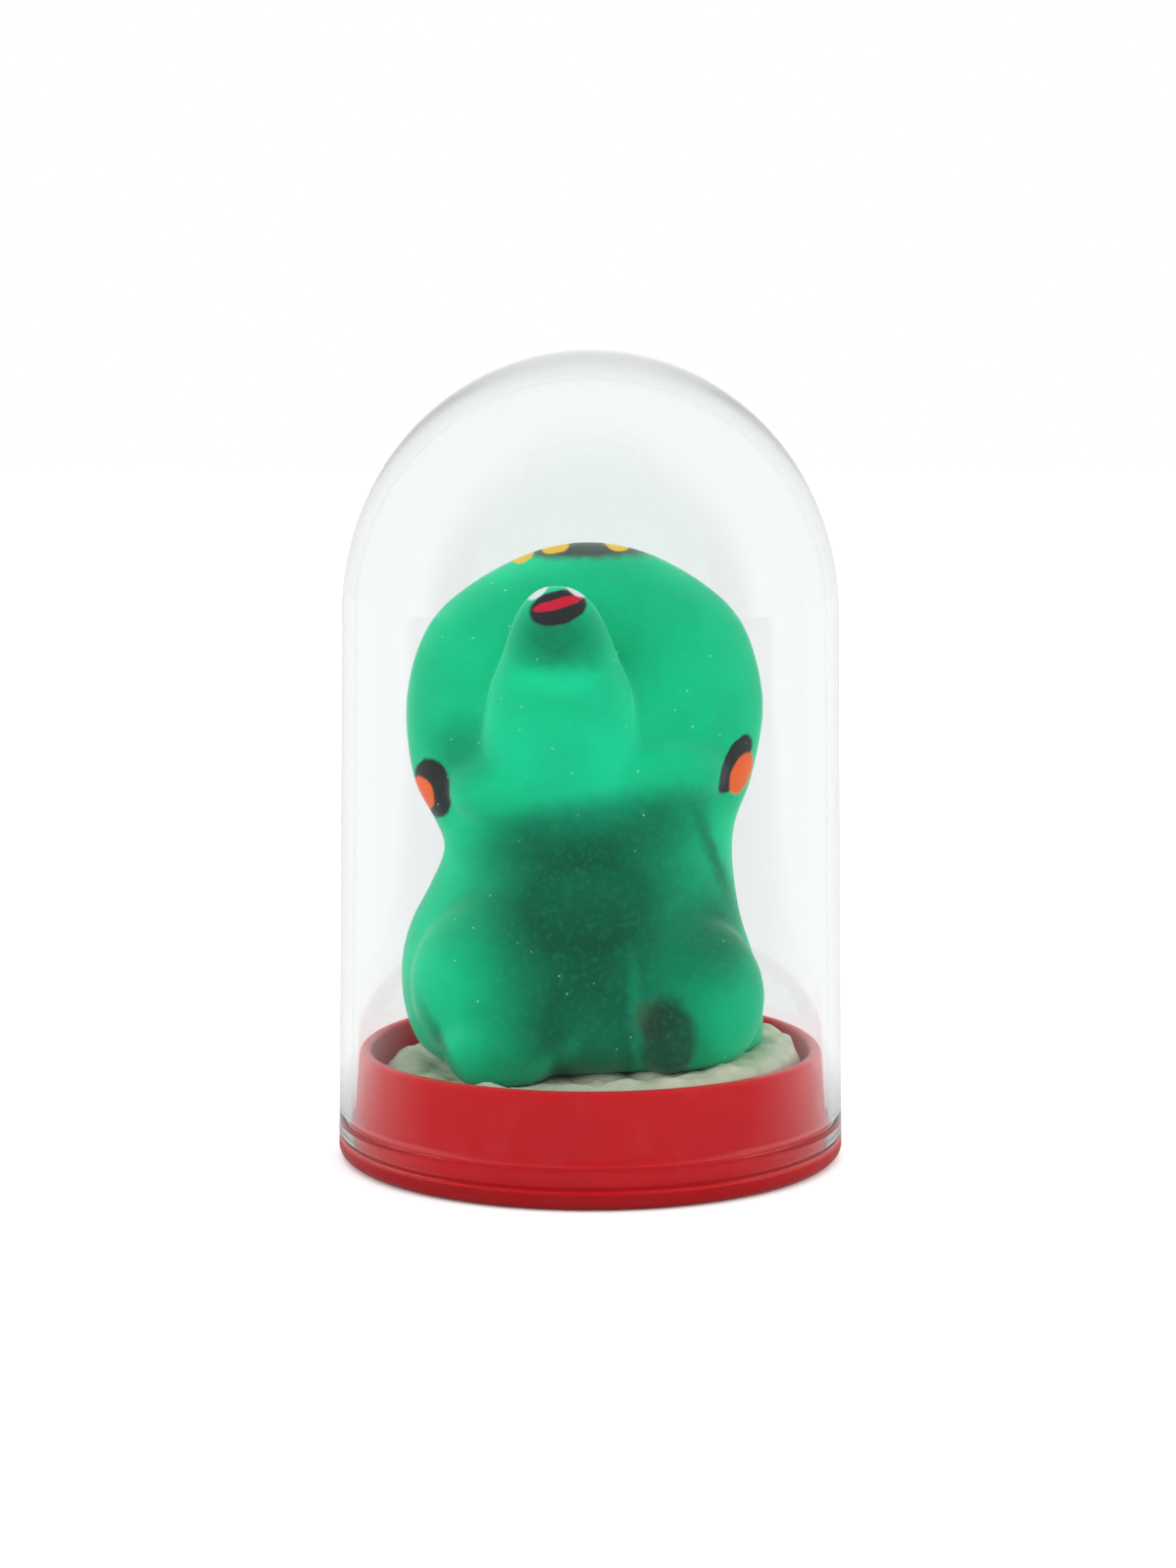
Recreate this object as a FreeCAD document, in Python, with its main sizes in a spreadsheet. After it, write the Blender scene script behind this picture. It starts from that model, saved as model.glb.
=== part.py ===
# Toy vending capsule: a clear dome pressed over a red cap, with a soft hooded-snake
# figure inside that stands on a wad of packing. Millimetres, +Z up, origin at the
# centre of the face that the cap stands on, with the figure facing -Y.

import FreeCAD, Part
import os
import Sketcher

doc = FreeCAD.newDocument("capsule")

# Driving dimensions: alias, value, what it measures
SIZES = [
    ("capsule_radius", 19.0, "outside of the cap's flange and of the dome's mouth"),
    ("capsule_height", 60.0, "floor to the top of the dome"),
    ("flange_height", 1.4, "floor to the seat that the dome's mouth stands on"),
    ("flange_round", 0.8, "rounded lower edge of the flange"),
    ("foot_ring", 4.6, "width of the ring that the cap stands on"),
    ("foot_recess", 0.5, "depth of the hollow inside that ring"),
    ("floor_wall", 1.0, "thickness of the cap's floor"),
    ("floor_round", 0.7, "rounded corner inside the cap"),
    ("plug_top", 8.2, "floor to the rim of the cap's plug"),
    ("plug_wall", 0.9, "thickness of the plug"),
    ("plug_taper", 0.5, "how much the plug draws in up to its rim"),
    ("plug_clearance", 0.12, "gap between the plug and the dome's mouth"),
    ("rim_round", 0.3, "rounded rim of the plug"),
    ("bead_height", 3.0, "floor to the middle of the plug's snap bead"),
    ("bead_width", 0.8, "length of the bead along the plug"),
    ("bead_rise", 0.16, "how far the bead stands out of the plug"),
    ("groove_depth", 0.2, "depth of the dome's groove over the bead"),
    ("dome_wall", 0.95, "thickness of the dome's side"),
    ("crown_wall", 1.7, "thickness of the dome at its top"),
    ("dome_taper", 0.55, "how much the dome's side draws in up to the crown"),
    ("crown_rise", 19.5, "height of the dome's round crown"),
    ("packing_gap", 0.3, "room between the packing and the cap"),
    ("packing_swell", 0.6, "how far the packing stands up round the figure"),
    ("seat_margin", 0.6, "room between the figure's foot and that swelling"),
    ("packing_round", 0.25, "softened edges of the packing"),
    ("foot_height", 7.0, "floor to the face that the figure stands on"),
    ("foot_width", 11.8, "half the width of the figure's foot"),
    ("foot_depth", 9.0, "half the depth of the figure's foot"),
    ("coil_height", 12.2, "floor to the widest place of the coils"),
    ("coil_width", 13.5, "half the width of the coils"),
    ("coil_depth", 10.2, "half the depth of the coils"),
    ("coil_shift", -0.7, "sideways shift of the coils"),
    ("waist_height", 18.0, "floor to where the coils draw in"),
    ("waist_width", 12.3, "half the width there"),
    ("waist_depth", 9.0, "half the depth there"),
    ("waist_shift", -1.0, "sideways shift there"),
    ("neck_height", 23.0, "floor to the narrowest place under the hood"),
    ("neck_width", 10.9, "half the width of the neck"),
    ("neck_depth", 7.5, "half the depth of the neck"),
    ("neck_shift", -0.15, "sideways shift of the neck"),
    ("cheek_height", 28.2, "floor to the hood's two painted spots"),
    ("cheek_width", 12.75, "half the width of the hood there"),
    ("cheek_depth", 7.3, "half the depth of the hood there"),
    ("hood_shift", -0.45, "sideways shift of the hood"),
    ("hood_back", 1.4, "how far the hood leans to the back"),
    ("hood_height", 33.4, "floor to the widest place of the hood"),
    ("hood_width", 13.5, "half the width of the hood"),
    ("hood_depth", 6.9, "half the depth of the hood"),
    ("brow_height", 40.4, "floor to where the hood rounds over"),
    ("brow_width", 11.3, "half the width of the hood there"),
    ("brow_depth", 5.3, "half the depth of the hood there"),
    ("crest_height", 44.2, "floor to just under the top of the hood"),
    ("crest_width", 6.5, "half the width of the hood there"),
    ("crest_depth", 3.1, "half the depth of the hood there"),
    ("figure_top", 45.9, "floor to the top of the hood"),
    ("top_width", 2.4, "half the width of the flat at the top of the hood"),
    ("top_depth", 1.2, "half the depth of that flat"),
    ("head_shift", -2.2, "sideways shift of the head"),
    ("chest_height", 25.5, "floor to where the throat comes out of the chest"),
    ("chest_width", 6.0, "half the width of the throat there"),
    ("chest_depth", 3.7, "half the depth of the throat there"),
    ("chest_reach", 2.9, "how far in front of the axis the throat is there"),
    ("throat_height", 31.2, "floor to the middle of the throat"),
    ("throat_width", 5.9, "half the width of the throat"),
    ("throat_depth", 4.0, "half the depth of the throat"),
    ("throat_reach", 4.3, "how far in front of the axis the throat is"),
    ("jaw_height", 35.8, "floor to the lower jaw"),
    ("jaw_width", 5.1, "half the width of the head at the jaw"),
    ("jaw_depth", 3.8, "half the depth of the head at the jaw"),
    ("jaw_reach", 6.4, "how far in front of the axis the jaw is"),
    ("snout_height", 39.2, "floor to the middle of the snout"),
    ("snout_width", 3.9, "half the width of the snout"),
    ("snout_depth", 2.9, "half the depth of the snout"),
    ("snout_reach", 7.9, "how far in front of the axis the snout is"),
    ("lip_height", 41.7, "floor to the mouth"),
    ("lip_width", 2.7, "half the width of the head at the mouth"),
    ("lip_depth", 2.0, "half the depth of the head at the mouth"),
    ("lip_reach", 8.9, "how far in front of the axis the mouth's middle is"),
    ("tip_height", 43.2, "floor to the tip of the head"),
    ("tip_width", 1.2, "half the width of the flat at the tip"),
    ("tip_depth", 0.85, "half the depth of that flat"),
    ("tip_reach", 9.4, "how far in front of the axis the tip is"),
    ("haunch_spread", 7.2, "sideways place of each front bulge of the coils"),
    ("haunch_width", 5.6, "half the width of a front bulge"),
    ("haunch_depth", 6.0, "half the depth of a front bulge"),
    ("haunch_reach", 4.9, "how far in front of the axis the bulges are"),
    ("breast_side", -1.4, "sideways place of the breast"),
    ("breast_front", 2.2, "how far in front of the axis the breast is"),
    ("breast_level", 18.4, "floor to the middle of the breast"),
    ("breast_wide", 8.4, "half the width of the breast"),
    ("breast_deep", 5.6, "half the depth of the breast"),
    ("breast_tall", 7.4, "half the height of the breast"),
    ("belly_side", 0.2, "sideways place of the belly"),
    ("belly_front", 7.2, "how far in front of the axis the belly is"),
    ("belly_wide", 4.2, "half the width of the belly"),
    ("belly_deep", 3.4, "half the depth of the belly"),
    ("belly_tall", 3.3, "half the height of the belly, which stands on the packing"),
    ("fold_side", 5.6, "sideways place of the small fold at the right"),
    ("fold_front", 8.8, "how far in front of the axis the fold is"),
    ("fold_wide", 2.0, "half the width of the fold"),
    ("fold_deep", 2.0, "half the depth of the fold"),
    ("fold_tall", 3.4, "half the height of the fold, which stands on the packing"),
    ("lobe_left_side", -5.2, "sideways place of the hood's left lobe"),
    ("lobe_right_side", 4.4, "sideways place of the hood's right lobe"),
    ("lobe_left_level", 28.0, "floor to the middle of the hood's left lobe"),
    ("lobe_right_level", 29.6, "floor to the middle of the hood's right lobe"),
    ("lobe_front", 1.7, "how far in front of the axis the lobes are"),
    ("lobe_wide", 5.6, "half the width of a lobe"),
    ("lobe_deep", 5.2, "half the depth of a lobe"),
    ("lobe_tall", 3.7, "half the height of a lobe"),
    ("spot_left_turn", 28.0, "degrees that the left spot is turned to the front"),
    ("spot_right_turn", 21.0, "degrees that the right spot is turned to the front"),
    ("spot_rise", 2.45, "half the height of a black spot"),
    ("spot_span", 1.75, "half the width of a black spot"),
    ("dot_rise", 1.5, "half the height of the orange dot on it"),
    ("dot_span", 1.1, "half the width of the orange dot"),
    ("dot_turn", 6.0, "degrees that a dot is turned from its spot to the side"),
    ("paint_film", 0.3, "how far a patch of paint stands out of what it is on"),
    ("mouth_span", 2.2, "half the width of the painted mouth"),
    ("mouth_rise", 1.3, "half the height of the painted mouth"),
    ("lip_span", 2.0, "half the width of the red lip"),
    ("lip_rise", 0.6, "half the height of the red lip"),
    ("lip_lift", 0.55, "how far the red lip is above the middle of the mouth"),
    ("eye_span", 1.0, "half the length of a painted eye"),
    ("eye_rise", 0.75, "half the height of a painted eye"),
    ("eye_out", 0.75, "how far out of the head's middle an eye is, as a share of its width"),
    ("band_span", 5.6, "half the length of the dark band over the crest"),
    ("band_depth", 2.2, "half the width of that band"),
    ("band_sink", 1.5, "how far the middle of the band lies under the hood's top"),
    ("crest_dot_span", 1.0, "half the length of a yellow dot on the band"),
    ("crest_dot_depth", 0.9, "half the width of a yellow dot"),
    ("crest_dot_gap", 2.7, "spacing of the yellow dots along the band"),
]


def make_sizes():
    """The sheet of driving dimensions, one named cell each."""
    sheet = doc.addObject("Spreadsheet::Sheet", "Sizes")
    for row, (alias, value, note) in enumerate(SIZES, start=1):
        sheet.set(f"A{row}", note)
        sheet.set(f"B{row}", str(value))
        sheet.setAlias(f"B{row}", alias)
    doc.recompute()
    return sheet


sizes = make_sizes()


def number(expression):
    """The value of an expression on the sheet."""
    return float(sizes.evalExpression(str(expression)))


def bind(thing, **expressions):
    """Binds properties to expressions; a double underscore stands for a dot."""
    for name, expression in expressions.items():
        thing.setExpression(name.replace("__", "."), str(expression))


def place(thing, x, y, z):
    """Binds the place of an object to expressions."""
    bind(thing, Placement__Base__x=x, Placement__Base__y=y, Placement__Base__z=z)


# Places that follow from the driving dimensions
MOUTH_BORE = "(Sizes.capsule_radius - Sizes.dome_wall)"
PLUG_FOOT = f"({MOUTH_BORE} - Sizes.plug_clearance)"
PLUG_RIM = f"({PLUG_FOOT} - Sizes.plug_taper)"
PLUG_SLOPE = "(Sizes.plug_taper / (Sizes.plug_top - Sizes.flange_height))"
RIM_BORE = f"({PLUG_RIM} - Sizes.plug_wall)"
FLOOR_BORE = f"({PLUG_FOOT} - Sizes.plug_wall)"
BEAD_LOW = "(Sizes.bead_height - Sizes.bead_width / 2)"
BEAD_HIGH = "(Sizes.bead_height + Sizes.bead_width / 2)"
CUP_FLOOR = "(Sizes.foot_recess + Sizes.floor_wall)"
CROWN_FOOT = "(Sizes.capsule_height - Sizes.crown_rise)"
CROWN_RADIUS = "(Sizes.capsule_radius - Sizes.dome_taper)"
DOME_SLOPE = f"(Sizes.dome_taper / ({CROWN_FOOT} - Sizes.flange_height))"


def plug_radius(height):
    """The outside of the plug at a height."""
    return f"({PLUG_FOOT} - ({height} - Sizes.flange_height) * {PLUG_SLOPE})"


def bore_radius(height):
    """The inside of the dome's side at a height."""
    return f"({MOUTH_BORE} - ({height} - Sizes.flange_height) * {DOME_SLOPE})"


def new_sketch(body, name):
    """An empty sketch on the body's XZ plane: X is the radius and Y the height."""
    planes = body.Origin.OriginFeatures
    sketch = body.newObject("Sketcher::SketchObject", name)
    sketch.AttachmentSupport = (next(p for p in planes if p.Role == "XZ_Plane"), [""])
    sketch.MapMode = "FlatFace"
    sketch.Visibility = False
    return sketch


def pin(sketch, line, end, radius, height):
    """Ties one end of a line to a radius and a height."""
    axes = (("DistanceX", -2, radius), ("DistanceY", -1, height))
    for kind, axis, size in axes:
        if size == "0":
            sketch.addConstraint(Sketcher.Constraint("PointOnObject", line, end, axis))
            continue
        tie = Sketcher.Constraint(kind, -1, 1, line, end, number(size))
        index = sketch.addConstraint(tie)
        sketch.setExpression(f"Constraints[{index}]", size)


def draw_lines(sketch, corners):
    """Joined straight lines through the corners, each tied to its sizes."""
    points = [FreeCAD.Vector(number(r), number(z), 0) for r, z in corners]
    lines = []
    for start, end in zip(points, points[1:]):
        lines.append(sketch.addGeometry(Part.LineSegment(start, end), False))
    for line, after in zip(lines, lines[1:]):
        sketch.addConstraint(Sketcher.Constraint("Coincident", line, 2, after, 1))
    for line, (radius, height) in zip(lines, corners):
        pin(sketch, line, 1, radius, height)
    return lines


def turn(body, sketch):
    """Turns a sketch once round the body's axis."""
    turned = body.newObject("PartDesign::Revolution", f"{body.Label}_turned")
    turned.Profile = sketch
    turned.ReferenceAxis = (sketch, ["V_Axis"])
    turned.Angle = 360
    doc.recompute()


def turned_body(label, corners):
    """A body turned about Z from a closed outline of straight lines."""
    body = doc.addObject("PartDesign::Body", label)
    sketch = new_sketch(body, f"{label}_profile")
    lines = draw_lines(sketch, corners + corners[:1])
    sketch.addConstraint(Sketcher.Constraint("Coincident", lines[-1], 2, lines[0], 1))
    turn(body, sketch)
    return body


def round_ring(body, name, size, radius, height):
    """A fillet on the round edge of that radius at that height."""
    base = body.Tip
    edges = []
    for index, edge in enumerate(base.Shape.Edges, start=1):
        if not isinstance(edge.Curve, Part.Circle):
            continue
        off_radius = abs(edge.Curve.Radius - number(radius))
        off_height = abs(edge.Curve.Center.z - number(height))
        if max(off_radius, off_height) < 1e-4:
            edges.append(f"Edge{index}")
    fillet = body.newObject("PartDesign::Fillet", f"{body.Label}_{name}")
    fillet.Base = (base, edges)
    bind(fillet, Radius=size)
    body.Tip = fillet
    doc.recompute()


def make_cap():
    """Red press-in cap: a flange to stand on and a hollow plug with a snap bead."""
    foot_bore = "(Sizes.capsule_radius - Sizes.flange_round - Sizes.foot_ring)"
    body = turned_body(
        "cap",
        [
            ("0", "Sizes.foot_recess"),
            (f"({foot_bore} - Sizes.foot_recess / 4)", "Sizes.foot_recess"),
            (foot_bore, "0"),
            ("Sizes.capsule_radius", "0"),
            ("Sizes.capsule_radius", "Sizes.flange_height"),
            (PLUG_FOOT, "Sizes.flange_height"),
            (plug_radius(BEAD_LOW), BEAD_LOW),
            (f"({plug_radius('Sizes.bead_height')} + Sizes.bead_rise)", "Sizes.bead_height"),
            (plug_radius(BEAD_HIGH), BEAD_HIGH),
            (PLUG_RIM, "Sizes.plug_top"),
            (RIM_BORE, "Sizes.plug_top"),
            (FLOOR_BORE, CUP_FLOOR),
            ("0", CUP_FLOOR),
        ],
    )
    round_ring(body, "lower_edge", "Sizes.flange_round", "Sizes.capsule_radius", "0")
    round_ring(body, "rim", "Sizes.rim_round", PLUG_RIM, "Sizes.plug_top")
    round_ring(body, "inner_rim", "Sizes.rim_round", RIM_BORE, "Sizes.plug_top")
    round_ring(body, "floor_corner", "Sizes.floor_round", FLOOR_BORE, CUP_FLOOR)
    return body


def ellipsoid(name, at, radii, seam=0):
    """An ellipsoid with half-sizes along X, Y and Z, its seam turned away from a cut."""
    blob = doc.addObject("Part::Ellipsoid", name)
    blob.Placement.Rotation = FreeCAD.Rotation(FreeCAD.Vector(0, 0, 1), seam)
    bind(blob, Radius2=radii[0], Radius3=radii[1], Radius1=radii[2])
    place(blob, *at)
    return blob


def make_dome():
    """Clear dome: a tapered side with a snap groove in its mouth, under a tall oval crown."""
    groove = f"({bore_radius('Sizes.bead_height')} + Sizes.groove_depth)"
    inner_radius = f"({CROWN_RADIUS} - Sizes.dome_wall)"
    side = turned_body(
        "dome_side",
        [
            (inner_radius, CROWN_FOOT),
            (bore_radius(BEAD_HIGH), BEAD_HIGH),
            (groove, "Sizes.bead_height"),
            (bore_radius(BEAD_LOW), BEAD_LOW),
            (MOUTH_BORE, "Sizes.flange_height"),
            ("Sizes.capsule_radius", "Sizes.flange_height"),
            (CROWN_RADIUS, CROWN_FOOT),
        ],
    )
    at = ("0", "0", CROWN_FOOT)
    inner_rise = "(Sizes.crown_rise - Sizes.crown_wall)"
    outside = ellipsoid("crown_outside", at, (CROWN_RADIUS, CROWN_RADIUS, "Sizes.crown_rise"))
    outside.Angle1 = 0
    crown = doc.addObject("Part::Cut", "crown")
    crown.Base = outside
    crown.Tool = ellipsoid("crown_inside", at, (inner_radius, inner_radius, inner_rise))
    dome = doc.addObject("Part::Fuse", "dome")
    dome.Base = side
    dome.Tool = crown
    dome.Refine = True
    return dome


def make_packing():
    """Soft wad in the cap: a flat seat under the figure, swollen round it."""
    radius = f"({RIM_BORE} - Sizes.packing_gap)"
    low = f"({CUP_FLOOR} + Sizes.packing_gap / 2)"
    seat = "(Sizes.foot_width + Sizes.seat_margin)"
    swell = "(Sizes.foot_height + Sizes.packing_swell)"
    base = f"({radius} - Sizes.floor_round)"
    body = turned_body(
        "packing_wad",
        [
            ("0", low),
            (base, low),
            (radius, f"({low} + Sizes.floor_round)"),
            (radius, "Sizes.foot_height"),
            (f"(({radius} + {seat}) / 2)", swell),
            (seat, "Sizes.foot_height"),
            ("0", "Sizes.foot_height"),
        ],
    )
    round_ring(body, "swelling", "Sizes.packing_round", f"(({radius} + {seat}) / 2)", swell)
    return body


def ellipse(name, level, shift, reach):
    """A level oval of the figure, sized and placed by the cells named after its level."""
    oval = doc.addObject("Part::Ellipse", name)
    bind(oval, MajorRadius=f"Sizes.{level}_width", MinorRadius=f"Sizes.{level}_depth")
    height = "Sizes.figure_top" if level == "top" else f"Sizes.{level}_height"
    place(oval, shift, reach, height)
    return oval


def loft(name, sections):
    """A smooth solid through level ovals."""
    solid = doc.addObject("Part::Loft", name)
    solid.Sections = [ellipse(f"{name}_{level}", level, *at) for level, *at in sections]
    solid.Solid = True
    solid.Ruled = False
    return solid


def half_sizes(name):
    """The half-sizes of a lump of the figure, from the cells named after it."""
    return [f"Sizes.{name}_{size}" for size in ("wide", "deep", "tall")]


def make_figure():
    """Soft hooded snake: coils, neck and hood in one sweep, with the head raised in front."""
    hood = ("Sizes.hood_shift", "Sizes.hood_back")
    trunk = loft(
        "trunk",
        [
            ("foot", "0", "0"),
            ("coil", "Sizes.coil_shift", "0"),
            ("waist", "Sizes.waist_shift", "0"),
            ("neck", "Sizes.neck_shift", "Sizes.hood_back / 2"),
            ("cheek", *hood),
            ("hood", *hood),
            ("brow", *hood),
            ("crest", *hood),
            ("top", *hood),
        ],
    )
    levels = ("chest", "throat", "jaw", "snout", "lip", "tip")
    head = loft("head", [(n, "Sizes.head_shift", f"-Sizes.{n}_reach") for n in levels])
    haunch_radii = (
        "Sizes.haunch_width",
        "Sizes.haunch_depth",
        "Sizes.coil_height - Sizes.foot_height",
    )
    lumps = []
    for side, sign in (("left", "-"), ("right", "")):
        at = (f"{sign}Sizes.haunch_spread", "-Sizes.haunch_reach", "Sizes.coil_height")
        lumps.append(ellipsoid(f"haunch_{side}", at, haunch_radii))
        at = (f"Sizes.lobe_{side}_side", "-Sizes.lobe_front", f"Sizes.lobe_{side}_level")
        lumps.append(ellipsoid(f"lobe_{side}", at, half_sizes("lobe")))
    on_packing = "Sizes.foot_height + Sizes.{}_tall"
    for name in ("breast", "belly", "fold"):
        level = "Sizes.breast_level" if name == "breast" else on_packing.format(name)
        at = (f"Sizes.{name}_side", f"-Sizes.{name}_front", level)
        lumps.append(ellipsoid(name, at, half_sizes(name)))
    figure = doc.addObject("Part::MultiFuse", "figure_body")
    figure.Shapes = [trunk, head] + lumps
    doc.recompute()
    return figure, trunk, head


def patch(label, blob, *under):
    """Thick paint: what stands out of an ellipsoid above the things under it."""
    for index, thing in enumerate(under):
        last = index == len(under) - 1
        cut = doc.addObject("Part::Cut", label if last else f"{label}_trim_{index}")
        cut.Base = blob
        cut.Tool = thing
        blob = cut
    doc.recompute()
    return blob


def on_hood(turn_angle, sign):
    """A place on the hood's side at the height of its spots."""
    x = f"Sizes.hood_shift {sign} Sizes.cheek_width * cos({turn_angle} * 1deg)"
    y = f"Sizes.hood_back - Sizes.cheek_depth * sin({turn_angle} * 1deg)"
    return x, y, "Sizes.cheek_height"


def make_spots(trunk):
    """A black spot with an orange dot on each side of the hood."""
    spots = []
    for side, sign, seam in (("left", "-", 0), ("right", "+", 180)):
        angle = f"Sizes.spot_{side}_turn"
        depth = "Sizes.spot_span * 0.4 + Sizes.paint_film"
        spot = ellipsoid(
            f"spot_{side}_blob",
            on_hood(angle, sign),
            (depth, "Sizes.spot_span", "Sizes.spot_rise"),
            seam,
        )
        black = patch(f"hood_spot_{side}", spot, trunk)
        dot = ellipsoid(
            f"dot_{side}_blob",
            on_hood(f"({angle} - Sizes.dot_turn)", sign),
            (f"{depth} + Sizes.paint_film", "Sizes.dot_span", "Sizes.dot_rise"),
            seam,
        )
        spots += [black, patch(f"hood_dot_{side}", dot, trunk, black)]
    return spots


def make_mouth(head):
    """The black mouth on the head's front and the red lip along its upper edge."""
    front = "-(Sizes.lip_reach + Sizes.lip_depth)"
    hollow = ellipsoid(
        "mouth_blob",
        ("Sizes.head_shift", front, "Sizes.lip_height"),
        ("Sizes.mouth_span", "Sizes.paint_film * 2", "Sizes.mouth_rise"),
    )
    black = patch("mouth_lining", hollow, head)
    ridge = ellipsoid(
        "lip_blob",
        ("Sizes.head_shift", front, "Sizes.lip_height + Sizes.lip_lift"),
        ("Sizes.lip_span", "Sizes.paint_film * 3", "Sizes.lip_rise"),
    )
    return [black, patch("mouth_lip", ridge, head, black)]


def make_eyes(head, mouth):
    """A painted eye on each side of the head's tip."""
    eyes = []
    height = "(Sizes.lip_height + Sizes.tip_height) / 2"
    back = "-(Sizes.lip_reach + Sizes.tip_reach) / 2"
    spread = "Sizes.eye_out * (Sizes.lip_width + Sizes.tip_width) / 2"
    for side, sign, seam in (("left", "-", 0), ("right", "+", 180)):
        x = f"Sizes.head_shift {sign} {spread}"
        ball = ellipsoid(
            f"eye_{side}_blob",
            (x, back, height),
            ("Sizes.eye_rise", "Sizes.eye_span", "Sizes.eye_rise"),
            seam,
        )
        eyes.append(patch(f"eye_{side}", ball, head, *mouth))
    return eyes


def make_crest(trunk):
    """The dark band over the top of the hood and the yellow dots along it."""
    middle = "Sizes.figure_top - Sizes.band_sink"
    rise = "(Sizes.band_sink + Sizes.paint_film)"
    over = ellipsoid(
        "band_blob",
        ("Sizes.hood_shift", "Sizes.hood_back", middle),
        ("Sizes.band_span", "Sizes.band_depth", rise),
        seam=180,
    )
    band = patch("crest_band", over, trunk)
    dots = doc.addObject("Part::Compound", "crest_dots")
    links = []
    for index in (-1, 0, 1):
        along = f"({index} * Sizes.crest_dot_gap)"
        lift = f"{rise} * sqrt(1 - ({along} / Sizes.band_span) ^ 2)"
        blob = ellipsoid(
            f"crest_dot_blob_{index + 2}",
            (f"Sizes.hood_shift + {along}", "Sizes.hood_back", f"{middle} + {lift}"),
            ("Sizes.crest_dot_span", "Sizes.crest_dot_depth", "Sizes.paint_film"),
        )
        links.append(patch(f"crest_dot_{index + 2}", blob, trunk, band))
    dots.Links = links
    doc.recompute()
    return [band, dots]


def check(objects):
    """Stops on anything that failed to build, before a file is written."""
    for thing in doc.Objects:
        if {"Invalid", "Error"} & set(thing.State):
            raise RuntimeError(f"{thing.Label} did not build: {thing.State}")
    for thing in objects:
        if thing.Shape.isNull() or not thing.Shape.isValid():
            raise RuntimeError(f"{thing.Label} has no valid solid")
        if not thing.Shape.Solids:
            raise RuntimeError(f"{thing.Label} has no solid")


def main():
    """Builds every piece, checks it and writes one file for each."""
    figure, trunk, head = make_figure()
    mouth = make_mouth(head)
    pieces = [make_cap(), make_dome(), make_packing(), figure] + mouth
    pieces += make_spots(trunk) + make_eyes(head, mouth) + make_crest(trunk)
    doc.recompute()
    check(pieces)
    os.makedirs("parts", exist_ok=True)
    for piece in pieces:
        piece.Shape.exportStep(f"parts/{piece.Label}.step")
        print(piece.Label, len(piece.Shape.Solids), round(piece.Shape.Volume, 2))


main()
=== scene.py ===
"""Models and finishes a toy vending capsule: clear dome, red cap, soft green toy and packing."""

import math

import bpy
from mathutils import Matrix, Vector


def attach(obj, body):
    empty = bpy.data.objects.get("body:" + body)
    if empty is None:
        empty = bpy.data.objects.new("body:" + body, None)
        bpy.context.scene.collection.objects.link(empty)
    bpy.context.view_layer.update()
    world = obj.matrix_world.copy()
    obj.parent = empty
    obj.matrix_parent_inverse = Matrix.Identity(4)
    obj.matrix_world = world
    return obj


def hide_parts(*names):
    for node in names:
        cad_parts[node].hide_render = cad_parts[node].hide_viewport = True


bl_info = {
    "name": "Toy Vending Capsule",
    "version": (1, 0, 0),
    "blender": (4, 5, 0),
    "location": "View3D > Sidebar > Capsule",
    "description": "Models a clear toy capsule with its cap, the soft toy inside and the packing",
    "category": "Object",
}

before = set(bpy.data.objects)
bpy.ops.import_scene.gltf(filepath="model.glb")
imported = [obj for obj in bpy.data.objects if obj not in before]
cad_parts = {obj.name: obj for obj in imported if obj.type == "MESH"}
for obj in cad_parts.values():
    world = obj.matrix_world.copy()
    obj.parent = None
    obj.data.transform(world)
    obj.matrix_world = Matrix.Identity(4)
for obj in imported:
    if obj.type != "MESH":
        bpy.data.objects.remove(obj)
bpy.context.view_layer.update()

MM = 0.001
WHITE = (1, 1, 1, 1)
# Points closer than this become one
WELD = 0.002 * MM
# Sockets of a mix of two colours
FACTOR, UNDER, OVER, MIXED = 0, 6, 7, 2
# Half a bounce: a ray with fewer has had none
HALF = 0.5

# Steps round the turned pieces
DOME_SIDES = 256
CAP_SIDES = 192
WAD_SIDES = 220

# Real sizes of the patterns on the materials, in mm
RAGGED_EDGE = 1.1
VINYL_CLOUDS = 6.0
VINYL_GRAIN, VINYL_GRAIN_DEPTH = 0.35, 0.03
DUST_FILM = 0.4
DUST_SPACING = 1.3
SCRATCHES = 0.8
CAP_SCUFFS = 2.2
CAP_GRAIN, CAP_GRAIN_DEPTH = 0.3, 0.012
PACKING_CREASES, PACKING_CREASE_DEPTH = 1.6, 0.25
# Heights between which the painted shade on the flange fades into the plug's red, in mm
FLANGE_SHADE_TOP, FLANGE_SHADE_FOOT = 1.6, 1.2
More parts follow.
